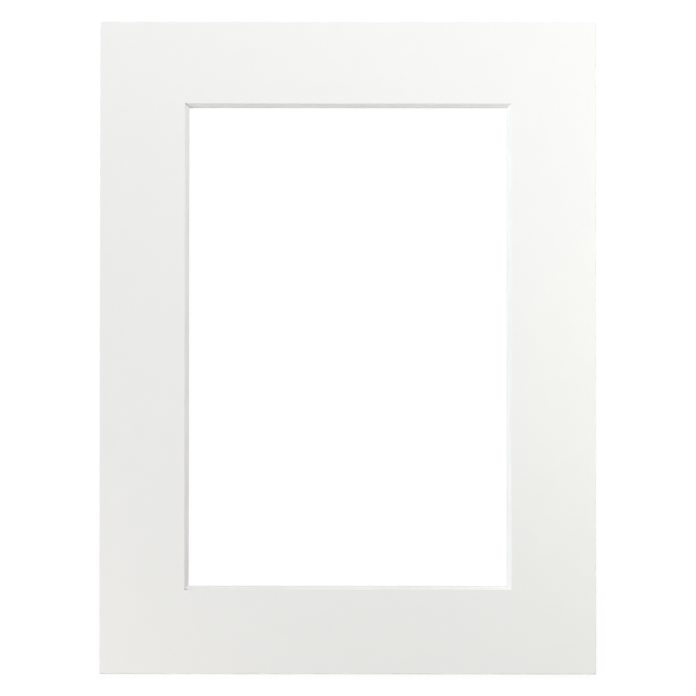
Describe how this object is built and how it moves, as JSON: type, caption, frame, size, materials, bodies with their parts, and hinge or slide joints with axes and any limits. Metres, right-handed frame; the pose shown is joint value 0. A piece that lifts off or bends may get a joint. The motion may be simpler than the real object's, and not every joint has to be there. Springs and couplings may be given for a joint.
{
  "type": "picture mount",
  "caption": "Thin flat rectangular picture mount of white board, with a large rectangular window whose inner edge is cut on a bevel.",
  "frame": {"origin": "middle of the back face, on the surface that the mount lies on", "axes": "+Y is the top of the picture, +X its right as seen from the front, +Z comes out of the face"},
  "size_m": [0.1524, 0.2032, 0.0014],
  "materials": {
    "white_board": "matte"
  },
  "bodies": {
    "root": {"mount_board": "white_board"}
  },
  "joints": []
}
